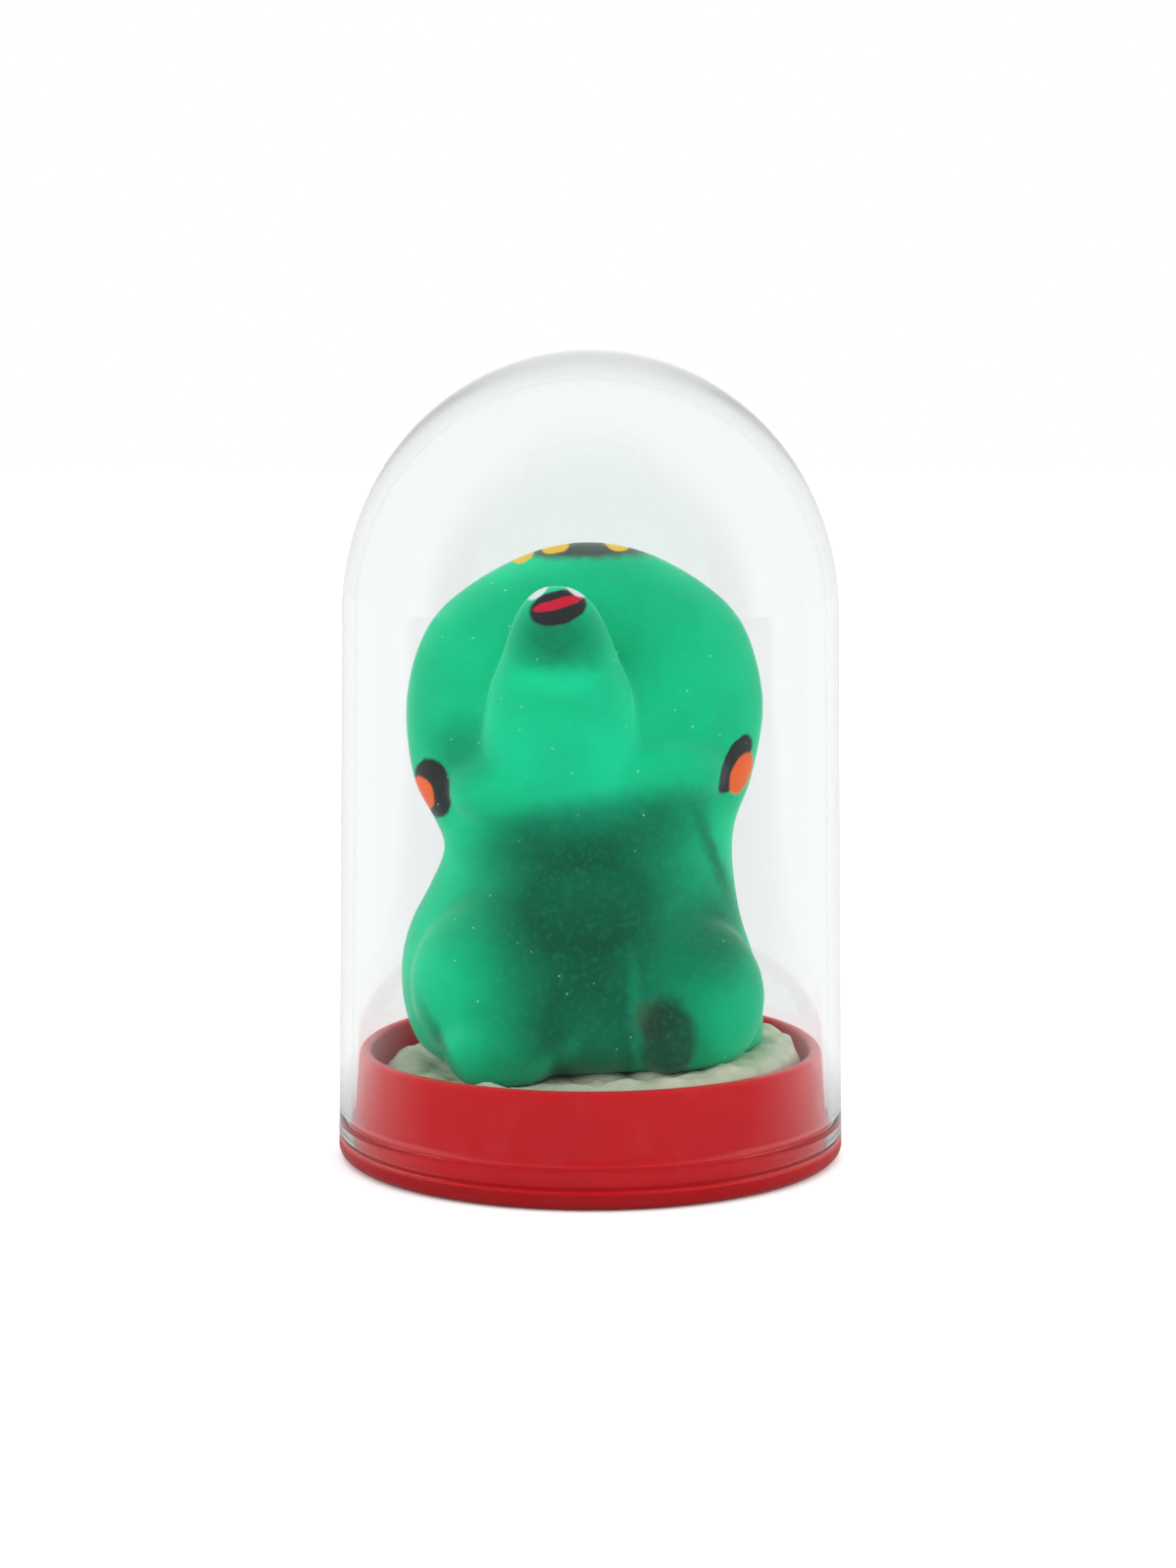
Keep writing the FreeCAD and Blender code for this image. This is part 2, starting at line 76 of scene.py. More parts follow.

# Painted shade and painted highlight in the vinyl's colour: darker where the thick coils and the
# underside of the hood lie in shade, brighter on the throat and ridges, and a dark oval with a
# maroon edge low at the right: colour, its share, place and half-sizes in mm, softness of the
# edge, and tilt in degrees
PAINTED_SHADE_AND_HIGHLIGHT = [
    ("#003F2C", 0.8, (-0.2, -8.0, 20.0), (8.0, 9.0, 5.6), 0.45, 6),
    ("#004A34", 0.55, (0.4, -7.0, 25.0), (9.5, 7.0, 2.4), 0.4, 9),
    ("#003F2C", 0.75, (-0.2, -9.0, 11.0), (6.5, 8.0, 7.0), 0.5, 0),
    ("#00563D", 0.6, (9.4, -6.0, 17.5), (2.6, 6.0, 3.4), 0.5, -30),
    ("#1FD9A0", 0.35, (3.4, -10.5, 10.4), (0.5, 6.0, 4.4), 0.7, 4),
    ("#1FD9A0", 0.25, (-3.0, -10.5, 8.6), (2.4, 6.0, 0.7), 0.7, 38),
    ("#5A1A1E", 0.45, (4.6, -10.5, 11.9), (1.5, 5.0, 1.5), 0.3, 0),
    ("#1C4438", 0.8, (5.6, -10.5, 10.2), (1.9, 5.0, 3.3), 0.18, 0),
    ("#006A4C", 0.65, (-2.3, -9.0, 39.6), (3.2, 5.0, 2.3), 0.45, 0),
    ("#0FFFC0", 0.35, (-1.6, -7.0, 31.2), (6.0, 7.0, 4.6), 0.5, 0),
    ("#0FFFC0", 0.3, (-2.4, -10.0, 36.4), (2.4, 4.0, 1.0), 0.5, 0),
    ("#006A4C", 0.45, (-9.6, -2.0, 30.8), (2.4, 6.0, 2.2), 0.6, 0),
    ("#00563D", 0.6, (9.2, -4.0, 22.6), (0.45, 6.0, 3.4), 0.6, 22),
    ("#0FDC9C", 0.6, (10.4, -3.0, 23.9), (0.9, 6.0, 3.0), 0.5, 20),
    ("#00563D", 0.35, (7.6, -8.0, 14.6), (3.2, 6.0, 3.4), 0.6, 0),
    ("#00563D", 0.55, (-10.6, -6.0, 9.4), (0.5, 6.0, 3.0), 0.6, 28),
]
# How far the edge of a painted shade or highlight wanders, in mm
SHADE_WOBBLE = 0.8
# Paint in the order in which it went on: colour, place and half-sizes in mm, softness of the
# edge, how far it wanders in mm, and tilt in degrees
PAINTS = [
    ("black", (-2.28, -11.0, 41.7), (2.16, 3.0, 1.2), 0.06, 0.3, 14),
    ("lip", (-2.2, -11.0, 42.0), (1.95, 3.0, 0.36), 0.09, 0.3, 15),
    ("white", (-3.72, -9.4, 42.75), (0.85, 2.0, 0.36), 0.15, 0.1, 34),
    ("white", (-1.0, -9.4, 42.85), (0.75, 2.0, 0.34), 0.15, 0.1, -30),
    ("pupil", (-1.02, -9.0, 43.12), (0.36, 1.2, 0.14), 0.2, 0.05, 0),
    ("black", (-11.85, -2.2, 27.6), (1.75, 4.0, 2.4), 0.06, 0.5, 0),
    ("orange", (-12.75, -1.6, 27.0), (1.15, 4.0, 1.55), 0.07, 0.3, 0),
    ("black", (10.7, -2.0, 29.6), (2.35, 4.0, 1.0), 0.06, 0.4, 63),
    ("orange", (11.25, -1.6, 28.8), (1.65, 4.0, 0.85), 0.07, 0.3, 66),
    ("band", (-0.5, 1.6, 45.6), (5.4, 3.4, 1.3), 0.2, 0.8, 0),
    ("yellow", (-5.0, 1.4, 44.95), (0.85, 3.0, 0.5), 0.1, 0.3, 24),
    ("yellow", (-2.6, 1.0, 45.6), (1.05, 2.4, 0.5), 0.1, 0.3, 10),
    ("yellow", (2.0, 1.0, 45.8), (0.9, 2.4, 0.5), 0.1, 0.3, -8),
]
PAINT_NODES = [
    "mouth_lining", "mouth_lip", "hood_spot_left", "hood_dot_left", "hood_spot_right",
    "hood_dot_right", "eye_left", "eye_right", "crest_band", "crest_dots",
]


def linear(text):
    """An sRGB hex colour as linear red, green, blue and alpha."""
    parts = [int(text[i:i + 2], 16) / 255 for i in (1, 3, 5)]
    return [c / 12.92 if c <= 0.04045 else ((c + 0.055) / 1.055) ** 2.4 for c in parts] + [1.0]


def length(name, millimetres, description):
    """A length that a user can change, given in millimetres."""
    return bpy.props.FloatProperty(
        name=name, description=description, default=millimetres * MM, unit="LENGTH", precision=5
    )


def colour(name, text, description):
    """A colour that a user can change, given as sRGB hex."""
    return bpy.props.FloatVectorProperty(
        name=name, description=description, default=linear(text), subtype="COLOR",
        size=4, min=0, max=1,
    )


class CapsuleSizes(bpy.types.PropertyGroup):
    """Sizes of the dome and the cap."""

    radius: length("Radius", 19.0, "Outside of the flange and of the dome's mouth")
    height: length("Height", 60.0, "Floor to the top of the dome")
    seat: length("Seat", 1.4, "Height of the flange that the dome stands on")
    edge_round: length("Edge round", 0.8, "Rounded lower edge of the flange")
    foot_bore: length("Foot bore", 13.6, "Inside of the ring that the cap stands on")
    foot_recess: length("Foot recess", 0.5, "Depth of the hollow inside that ring")
    cup_floor: length("Cup floor", 1.5, "Height of the cap's floor")
    plug_foot: length("Plug foot", 17.93, "Radius of the plug at the flange")
    plug_rim: length("Plug rim", 17.43, "Radius of the plug at its rim")
    plug_top: length("Plug top", 8.2, "Height of the plug's rim")
    plug_wall: length("Plug wall", 0.9, "Thickness of the plug")
    bead_height: length("Bead height", 3.0, "Height of the snap bead and its groove")
    bead_width: length("Bead width", 0.8, "Length of the bead along the plug")
    bead_rise: length("Bead rise", 0.16, "How far the bead stands out")
    groove_depth: length("Groove depth", 0.2, "Depth of the groove in the dome")
    wall: length("Dome wall", 0.95, "Thickness of the dome's side")
    crown_wall: length("Crown wall", 1.7, "Thickness of the dome's top")
    taper: length("Taper", 0.55, "How much the dome draws in up to its crown")
    crown_rise: length("Crown rise", 19.5, "Height of the round crown")


class ToyColours(bpy.types.PropertyGroup):
    """Colours of the toy, the cap and the packing."""

    green: colour("Green", "#00CC92", "Soft vinyl of the toy")
    red: colour("Red", "#D2101B", "Plastic of the cap")
    packing: colour("Packing", "#DCDAC6", "Pale packing")
    black: colour("Black", "#2B2D30", "Paint of the spots and the mouth")
    orange: colour("Orange", "#FF6A2C", "Paint of the dots on the hood")
    white: colour("White", "#E9EEF0", "Paint of the eyes")
    pupil: colour("Pupil", "#2440B0", "Paint of the pupil")
    lip: colour("Lip", "#D81E3C", "Paint of the lip")
    band: colour("Band", "#4E5A52", "Thin dark paint over the crest")
    yellow: colour("Yellow", "#F7C930", "Paint of the dots on the crest")


class StageSettings(bpy.types.PropertyGroup):
    """Camera and lights."""

    distance: length("Distance", 223.0, "Camera in front of the capsule's axis")
    eye_height: length("Eye height", 55.28, "Camera above the floor")
    side: length("Side", -0.18, "Camera to the side of the axis")
    pitch: bpy.props.FloatProperty(
        name="Pitch", description="Camera's downward tilt", default=math.radians(7.03),
        subtype="ANGLE",
    )
    lens: bpy.props.FloatProperty(
        name="Lens", description="Focal length on a 36 mm long side", default=68.9, unit="CAMERA"
    )
    light: bpy.props.FloatProperty(
        name="Light", description="Strength of the lamps", default=1.0, min=0, subtype="FACTOR"
    )


def apply_modifier(piece, kind, **settings):
    """Adds a modifier with its settings and applies it."""
    modifier = piece.modifiers.new(kind.title(), kind)
    for name, value in settings.items():
        setattr(modifier, name, value)
    bpy.context.view_layer.objects.active = piece
    bpy.ops.object.modifier_apply(modifier=modifier.name)


def close_mesh(piece, angle):
    """Merges doubles, points the faces outwards and smooths all but sharp edges."""
    bpy.ops.object.select_all(action="DESELECT")
    piece.select_set(True)
    bpy.context.view_layer.objects.active = piece
    bpy.ops.object.mode_set(mode="EDIT")
    bpy.ops.mesh.select_all(action="SELECT")
    bpy.ops.mesh.remove_doubles(threshold=WELD)
    bpy.ops.mesh.normals_make_consistent(inside=False)
    bpy.ops.object.mode_set(mode="OBJECT")
    bpy.ops.object.shade_smooth_by_angle(angle=math.radians(angle))


def supported(profile, inset=0.15 * MM):
    """The profile with two more points on each long stretch, so that it shades flat."""
    points = [profile[0]]
    for start, end in zip(profile, profile[1:]):
        stretch = math.dist(start, end)
        if stretch > 4 * inset:
            for share in (inset / stretch, 1 - inset / stretch):
                points.append([a + (b - a) * share for a, b in zip(start, end)])
        points.append(end)
    return points


def turned(name, profile, steps, angle=40):
    """A solid turned about Z from (radius, height) points that start and end on the axis."""
    profile = supported(profile)
    bpy.ops.object.select_all(action="DESELECT")
    bpy.ops.mesh.primitive_plane_add(size=MM)
    piece = bpy.context.object
    piece.name = name
    bpy.ops.object.mode_set(mode="EDIT")
    bpy.ops.mesh.select_all(action="SELECT")
    bpy.ops.mesh.merge(type="CENTER")
    bpy.ops.transform.translate(value=(profile[0][0], 0, profile[0][1]))
    for (radius, height), (next_radius, next_height) in zip(profile, profile[1:]):
        step = (next_radius - radius, 0, next_height - height)
        bpy.ops.mesh.extrude_vertices_move(TRANSFORM_OT_translate={"value": step})
    bpy.ops.object.mode_set(mode="OBJECT")
    apply_modifier(
        piece, "SCREW", axis="Z", steps=steps, render_steps=steps,
        use_merge_vertices=True, merge_threshold=WELD,
    )
    close_mesh(piece, angle)
    return piece


def arc(centre, radius, start, end, count):
    """Points of an arc in the profile's plane, with its angles in degrees from the radius."""
    points = []
    for index in range(count + 1):
        turn = math.radians(start + (end - start) * index / count)
        points.append((centre[0] + radius * math.cos(turn), centre[1] + radius * math.sin(turn)))
    return points


def crown(radius, foot, rise, count=80):
    """Points of an oval crown from the top of a wall up to the axis."""
    turns = [math.pi / 2 * index / count for index in range(count)]
    oval = [(radius * math.cos(turn), foot + rise * math.sin(turn)) for turn in turns]
    return oval + [(0, foot + rise)]


def loft(name, levels, steps=9, sides=96):
    """A closed skin through level ovals, each (x, y, z, half width, half depth) in mm."""
    rows = []
    for index in range(len(levels) - 1):
        near = [levels[max(0, min(len(levels) - 1, index + k))] for k in (-1, 0, 1, 2)]
        for step in range(steps):
            t = step / steps
            rows.append([blend_value(*values, t) for values in zip(*near)])
    rows.append(levels[-1])
    bpy.ops.object.select_all(action="DESELECT")
    for index, (x, y, z, wide, deep) in enumerate(rows):
        at = (x * MM, y * MM, z * MM)
        bpy.ops.mesh.primitive_circle_add(vertices=sides, radius=wide * MM, location=at)
        if index == 0:
            piece = bpy.context.object
            bpy.ops.object.transform_apply(location=True, rotation=False, scale=True)
            bpy.ops.object.mode_set(mode="EDIT")
            bpy.ops.mesh.select_all(action="SELECT")
        bpy.ops.transform.resize(value=(1, deep / wide, 1), center_override=at)
    bpy.ops.mesh.select_all(action="SELECT")
    bpy.ops.mesh.bridge_edge_loops()
    bpy.ops.mesh.select_all(action="SELECT")
    bpy.ops.mesh.fill_holes(sides=0)
    bpy.ops.object.mode_set(mode="OBJECT")
    piece.name = name
    return piece


def blend_value(before, start, end, after, t):
    """A smooth value between two levels, led by their neighbours."""
    pull = (end - before) / 2
    push = (after - start) / 2
    rise = end - start
    return start + t * (pull + t * (3 * rise - 2 * pull - push + t * (pull + push - 2 * rise)))


def swelling(at, radii):
    """A rounded lump to be merged into the toy, in mm."""
    bpy.ops.object.select_all(action="DESELECT")
    bpy.ops.mesh.primitive_uv_sphere_add(
        segments=48, ring_count=28, radius=1, location=[v * MM for v in at],
        scale=[v * MM for v in radii],
    )
    return bpy.context.object


def merge(pieces, name):
    """Joins pieces into the first, with its origin at the frame's origin."""
    bpy.ops.object.select_all(action="DESELECT")
    for piece in pieces:
        piece.select_set(True)
    bpy.context.view_layer.objects.active = pieces[0]
    bpy.ops.object.join()
    bpy.ops.object.transform_apply(location=True, rotation=True, scale=True)
    pieces[0].name = name
    return pieces[0]


def node(tree, kind, inputs=None, **settings):
    """Adds a node with its settings; an input is a value or another node's socket."""
    made = tree.nodes.new(kind)
    for name, value in settings.items():
        setattr(made, name, value)
    for name, value in (inputs or {}).items():
        if isinstance(value, bpy.types.NodeSocket):
            tree.links.new(value, made.inputs[name])
        else:
            made.inputs[name].default_value = value
    return made


def new_material(name):
    """An empty node material with its output and Object coordinates."""
    material = bpy.data.materials.new(name)
    material.use_nodes = True
    tree = material.node_tree
    tree.nodes.clear()
    output = node(tree, "ShaderNodeOutputMaterial")
    place = node(tree, "ShaderNodeTexCoord").outputs["Object"]
    return material, tree, output, place


def patch(tree, place, at, radii, edge, wobble, tilt):
    """A soft-edged oval on the toy: 1 inside, with its place and radii in mm and its right side
    tilted up by some degrees."""
    ragged = node(
        tree, "ShaderNodeTexNoise",
        {"Vector": place, "Scale": 1 / (RAGGED_EDGE * MM), "Detail": 4.0},
    ).outputs["Color"]
    shake = node(
        tree, "ShaderNodeVectorMath",
        {0: ragged, 1: (0.5, 0.5, 0.5)}, operation="SUBTRACT",
    ).outputs[0]
    moved = node(
        tree, "ShaderNodeVectorMath",
        {0: shake, 1: (wobble * MM,) * 3, 2: place}, operation="MULTIPLY_ADD",
    ).outputs[0]
    middle = node(
        tree, "ShaderNodeVectorMath", {0: moved, 1: [v * MM for v in at]}, operation="SUBTRACT"
    ).outputs[0]
    level = node(
        tree, "ShaderNodeVectorRotate",
        {"Vector": middle, "Angle": math.radians(tilt)}, rotation_type="Y_AXIS",
    ).outputs[0]
    share = node(
        tree, "ShaderNodeVectorMath", {0: level, 1: [v * MM for v in radii]}, operation="DIVIDE"
    ).outputs[0]
    away = node(tree, "ShaderNodeVectorMath", {0: share}, operation="LENGTH").outputs["Value"]
    return node(
        tree, "ShaderNodeMapRange",
        {"Value": away, "From Min": 1 + edge, "From Max": 1 - edge, "To Min": 0.0, "To Max": 1.0},
    ).outputs["Result"]


def soft_vinyl(colours):
    """Soft vinyl, injection moulded: translucent, so light glows in its thin parts, with painted
    shade and painted highlight in its colour, a satin skin, dust on it and spots of opaque paint."""
    material, tree, output, place = new_material("soft_vinyl_green")
    cloud = node(
        tree, "ShaderNodeTexNoise",
        {"Vector": place, "Scale": 1 / (VINYL_CLOUDS * MM), "Detail": 3.0},
    ).outputs["Fac"]
    value = node(
        tree, "ShaderNodeMapRange",
        {"Value": cloud, "From Min": 0.3, "From Max": 0.7, "To Min": 0.86, "To Max": 1.08},
    ).outputs["Result"]
    base = node(
        tree, "ShaderNodeHueSaturation", {"Color": list(colours.green), "Value": value}
    ).outputs["Color"]
    # Painted shade and painted highlight: darker and brighter ovals laid over the colour
    for text, share, at, radii, edge, tilt in PAINTED_SHADE_AND_HIGHLIGHT:
        shade = patch(tree, place, at, radii, edge, SHADE_WOBBLE, tilt)
        part = node(tree, "ShaderNodeMath", {0: shade, 1: share}, operation="MULTIPLY").outputs[0]
        base = node(
            tree, "ShaderNodeMix",
            {FACTOR: part, UNDER: base, OVER: linear(text)}, data_type="RGBA",
        ).outputs[MIXED]
    # A fine veil of dust
    film = node(
        tree, "ShaderNodeTexNoise",
        {"Vector": place, "Scale": 1 / (DUST_FILM * MM), "Detail": 6.0},
    ).outputs["Fac"]
    veil = node(
        tree, "ShaderNodeMapRange",
        {"Value": film, "From Min": 0.5, "From Max": 0.8, "To Min": 0.0, "To Max": 0.16},
    ).outputs["Result"]
    base = node(
        tree, "ShaderNodeMix",
        {FACTOR: veil, UNDER: base, OVER: linear("#3FCFA0")}, data_type="RGBA",
    ).outputs[MIXED]
    opaque = None
    for name, at, radii, edge, wobble, tilt in PAINTS:
        share = patch(tree, place, at, radii, edge, wobble, tilt)
        paint = list(getattr(colours, name))
        base = node(
            tree, "ShaderNodeMix",
            {FACTOR: share, UNDER: base, OVER: paint}, data_type="RGBA",
        ).outputs[MIXED]
        if opaque is None:
            opaque = share
        else:
            opaque = node(
                tree, "ShaderNodeMath", {0: opaque, 1: share}, operation="MAXIMUM"
            ).outputs[0]
    # Dust: specks of about 0.16 mm, coarser than real ones so that they show
    cells = node(
        tree, "ShaderNodeTexVoronoi", {"Vector": place, "Scale": 1 / (DUST_SPACING * MM)},
    )
    near = node(
        tree, "ShaderNodeMath", {0: cells.outputs["Distance"], 1: 0.06}, operation="LESS_THAN"
    ).outputs[0]
    some = node(
        tree, "ShaderNodeMath", {0: cells.outputs["Color"], 1: 0.3}, operation="GREATER_THAN"
    ).outputs[0]
    speck = node(tree, "ShaderNodeMath", {0: near, 1: some}, operation="MULTIPLY").outputs[0]
    dusty = node(tree, "ShaderNodeMath", {0: speck, 1: 0.55}, operation="MULTIPLY").outputs[0]
    base = node(
        tree, "ShaderNodeMix",
        {FACTOR: dusty, UNDER: base, OVER: linear("#CFE9DC")}, data_type="RGBA",
    ).outputs[MIXED]
    glow = node(
        tree, "ShaderNodeMapRange",
        {"Value": opaque, "From Min": 0.0, "From Max": 1.0, "To Min": 0.85, "To Max": 0.05},
    ).outputs["Result"]
    fine = node(
        tree, "ShaderNodeTexNoise",
        {"Vector": place, "Scale": 1 / (VINYL_GRAIN * MM), "Detail": 2.0},
    ).outputs["Fac"]
    skin = node(
        tree, "ShaderNodeBump",
        {"Height": fine, "Distance": VINYL_GRAIN_DEPTH * MM, "Strength": 1.0},
    )
    shader = node(
        tree, "ShaderNodeBsdfPrincipled",
        {
            "Base Color": base,
            "Subsurface Weight": glow,
            "Subsurface Radius": (0.25, 1.0, 0.7),
            "Subsurface Scale": 2.6 * MM,
            "Roughness": 0.42,
            "IOR": 1.5,
            "Specular IOR Level": 0.2,
            "Sheen Weight": 0.12,
            "Sheen Roughness": 0.4,
            "Sheen Tint": linear("#DFF5EA"),
            "Normal": skin.outputs["Normal"],
        },
    )
    tree.links.new(shader.outputs[0], output.inputs["Surface"])
    return material


def clear_polystyrene():
    """Clear polystyrene, injection moulded: glass-clear with a bright edge, handled until it
    has fine scratches. Lamps shine through it, so what is inside is lit."""
    material, tree, output, place = new_material("clear_polystyrene")
    drawn = node(
        tree, "ShaderNodeMapping", {"Vector": place, "Scale": (1.0, 1.0, 0.12)}
    ).outputs[0]
    haze = node(
        tree, "ShaderNodeTexNoise",
        {"Vector": drawn, "Scale": 1 / (SCRATCHES * MM), "Detail": 5.0},
    ).outputs["Fac"]
    rough = node(
        tree, "ShaderNodeMapRange",
        {"Value": haze, "From Min": 0.45, "From Max": 0.8, "To Min": 0.0, "To Max": 0.02},
    ).outputs["Result"]
    shader = node(
        tree, "ShaderNodeBsdfPrincipled",
        {
            "Base Color": linear("#FBFDFD"),
            "Roughness": rough,
            "IOR": 1.5,
            "Transmission Weight": 1.0,
        },
    )
    ray = node(tree, "ShaderNodeLightPath")
    through = node(tree, "ShaderNodeBsdfTransparent", {"Color": (0.97, 0.98, 0.98, 1)})
    mix = node(
        tree, "ShaderNodeMixShader",
        {0: ray.outputs["Is Shadow Ray"], 1: shader.outputs[0], 2: through.outputs[0]},
    )
    tree.links.new(mix.outputs[0], output.inputs["Surface"])
    return material


def red_polyethylene(colours):
    """Polyethylene, injection moulded: a waxy red with a satin skin, faint scuffs and painted
    shade.
    """
    material, tree, output, place = new_material("red_polyethylene")
    cloud = node(
        tree, "ShaderNodeTexNoise",
        {"Vector": place, "Scale": 1 / (CAP_SCUFFS * MM), "Detail": 4.0},
    ).outputs["Fac"]
    scuff = node(
        tree, "ShaderNodeMapRange",
        {"Value": cloud, "From Min": 0.35, "From Max": 0.75, "To Min": 0.3, "To Max": 0.5},
    ).outputs["Result"]
    pale = node(
        tree, "ShaderNodeMapRange",
        {"Value": cloud, "From Min": 0.55, "From Max": 0.85, "To Min": 0.0, "To Max": 0.12},
    ).outputs["Result"]
    worn = node(
        tree, "ShaderNodeMix",
        {FACTOR: pale, UNDER: list(colours.red), OVER: linear("#EE6A6A")}, data_type="RGBA",
    ).outputs[MIXED]
    # Painted shade: the flange's red is darkened towards the floor, where it lies in shadow
    height = node(tree, "ShaderNodeSeparateXYZ", {0: place}).outputs["Z"]
    deep = node(
        tree, "ShaderNodeMapRange",
        {
            "Value": height, "From Min": FLANGE_SHADE_TOP * MM, "From Max": FLANGE_SHADE_FOOT * MM,
            "To Min": 0.0, "To Max": 0.95,
        },
    ).outputs["Result"]
    red = node(
        tree, "ShaderNodeMix",
        {FACTOR: deep, UNDER: worn, OVER: linear("#8C0006")}, data_type="RGBA",
    ).outputs[MIXED]
    fine = node(
        tree, "ShaderNodeTexNoise",
        {"Vector": place, "Scale": 1 / (CAP_GRAIN * MM), "Detail": 3.0},
    ).outputs["Fac"]
    skin = node(
        tree, "ShaderNodeBump",
        {"Height": fine, "Distance": CAP_GRAIN_DEPTH * MM, "Strength": 1.0},
    )
    shader = node(
        tree, "ShaderNodeBsdfPrincipled",
        {
            "Base Color": red,
            "Roughness": scuff,
            "IOR": 1.51,
            "Subsurface Weight": 0.6,
            "Subsurface Radius": (1.0, 0.12, 0.1),
            "Subsurface Scale": 2.0 * MM,
            "Normal": skin.outputs["Normal"],
        },
    )
    tree.links.new(shader.outputs[0], output.inputs["Surface"])
    return material


def folded_packing(colours):
    """Soft folded sheet packing: matte, pale, creased, with light passing through its edges."""
    material, tree, output, place = new_material("folded_packing")
    crease = node(
        tree, "ShaderNodeTexNoise",
        {"Vector": place, "Scale": 1 / (PACKING_CREASES * MM), "Detail": 6.0},
    ).outputs["Fac"]
    shade = node(
        tree, "ShaderNodeMapRange",
        {"Value": crease, "From Min": 0.3, "From Max": 0.7, "To Min": 0.0, "To Max": 0.5},
    ).outputs["Result"]
    sheet = node(
        tree, "ShaderNodeMix",
        {FACTOR: shade, UNDER: list(colours.packing), OVER: linear("#A8AE90")}, data_type="RGBA",
    ).outputs[MIXED]
    skin = node(
        tree, "ShaderNodeBump",
        {"Height": crease, "Distance": PACKING_CREASE_DEPTH * MM, "Strength": 1.0},
    )
    shader = node(
        tree, "ShaderNodeBsdfPrincipled",
        {
            "Base Color": sheet,
            "Roughness": 0.8,
            "Subsurface Weight": 0.3,
            "Subsurface Radius": (1.0, 0.9, 0.7),
            "Subsurface Scale": 0.8 * MM,
            "Normal": skin.outputs["Normal"],
        },
    )
    tree.links.new(shader.outputs[0], output.inputs["Surface"])
    return material


def hand_over(piece, material, body, slot, *nodes):
    """Gives a finished piece its material, its body and the nodes that it stands for."""
    piece.data.materials.clear()
    piece.data.materials.append(material)
    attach(piece, body)
    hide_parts(*nodes)


class CAPSULE_OT_dome(bpy.types.Operator):
    """Turn the clear dome"""

    bl_idname = "capsule.dome"
    bl_label = "Dome"

    def execute(self, context):
        s = context.scene.capsule_sizes
        foot = s.height - s.crown_rise
        slope = s.taper / (foot - s.seat)
        bore = s.radius - s.wall
        lip = 0.2 * MM
        inner = crown(s.radius - s.taper - s.wall, foot, s.crown_rise - s.crown_wall)
        outer = crown(s.radius - s.taper, foot, s.crown_rise)
        half = s.bead_width / 2
        profile = inner[::-1]
        profile += [
            (bore - slope * half, s.bead_height + half),
            (bore + s.groove_depth, s.bead_height),
            (bore, s.bead_height - half),
            (bore, s.seat),
            (s.radius - lip, s.seat),
        ]
        profile += arc((s.radius - lip, s.seat + lip), lip, -90, 0, 4)[1:]
        profile += outer
        piece = turned("clear_dome", profile, DOME_SIDES)
        hand_over(piece, clear_polystyrene(), "dome", "clear_polystyrene", "dome")
        return {"FINISHED"}


class CAPSULE_OT_cap(bpy.types.Operator):
    """Turn the red cap with its plug"""

    bl_idname = "capsule.cap"
    bl_label = "Cap"

    def execute(self, context):
        s = context.scene.capsule_sizes
        rim = 0.3 * MM
        corner = 0.7 * MM
        half = s.bead_width / 2
        drop = (s.plug_foot - s.plug_rim) / (s.plug_top - s.seat)
        bore = s.plug_rim - s.plug_wall
        floor_bore = s.plug_foot - s.plug_wall
        profile = [(0, s.foot_recess), (s.foot_bore - s.foot_recess / 4, s.foot_recess)]
        profile += [(s.foot_bore, 0), (s.radius - s.edge_round, 0)]
        profile += arc((s.radius - s.edge_round, s.edge_round), s.edge_round, -90, 0, 10)[1:]
        profile += arc((s.radius - rim / 2, s.seat - rim / 2), rim / 2, 0, 90, 4)
        profile += [(s.plug_foot, s.seat)]
        for offset, rise in ((-half, 0), (0, s.bead_rise), (half, 0)):
            height = s.bead_height + offset
            profile.append((s.plug_foot - drop * (height - s.seat) + rise, height))
        profile += arc((s.plug_rim - rim, s.plug_top - rim), rim, 0, 90, 6)
        profile += arc((bore + rim, s.plug_top - rim), rim, 90, 180, 6)
        profile += arc((floor_bore - corner, s.cup_floor + corner), corner, 0, -90, 6)
        profile += [(0, s.cup_floor)]
        piece = turned("red_cap", profile, CAP_SIDES)
        material = red_polyethylene(context.scene.toy_colours)
        hand_over(piece, material, "cap", "red_polyethylene", "cap")
        return {"FINISHED"}


